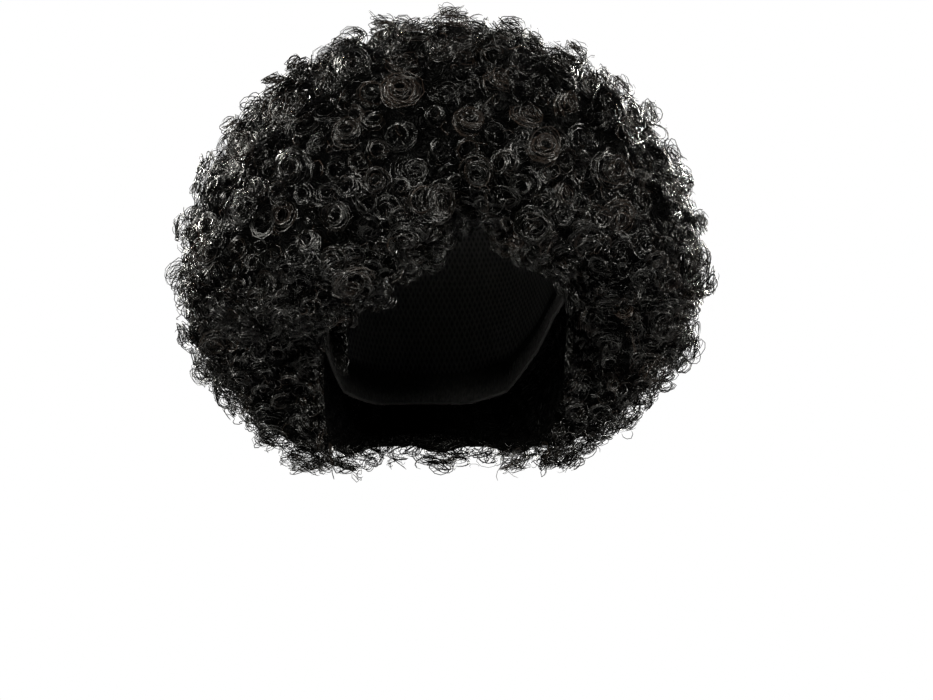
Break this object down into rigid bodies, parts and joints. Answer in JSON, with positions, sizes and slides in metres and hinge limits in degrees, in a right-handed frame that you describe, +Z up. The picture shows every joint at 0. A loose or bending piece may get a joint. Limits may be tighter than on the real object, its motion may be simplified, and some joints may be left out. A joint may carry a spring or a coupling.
{
  "type": "afro wig",
  "caption": "Full rounded wig of tight ringlets on a stretch cap, with a notched fringe and short sideburns, worn over the head as costume hair",
  "frame": {"origin": "the top of the head, on the inside of the cap", "axes": "+Z up, the front faces -Y, the right side is at -X"},
  "size_m": [0.3505, 0.3234, 0.3101],
  "materials": {
    "cap_net": "matt elastic net with a bound edge",
    "hair": "soft gloss synthetic fibre in tight curls"
  },
  "bodies": {
    "root": {"cap": "cap_net", "hair_crown": "hair", "hair_fringe": "hair", "hair_nape": "hair", "hair_back": "hair", "hair_right": "hair", "hair_left": "hair", "sideburn_left": "hair", "sideburn_right": "hair"}
  },
  "joints": []
}
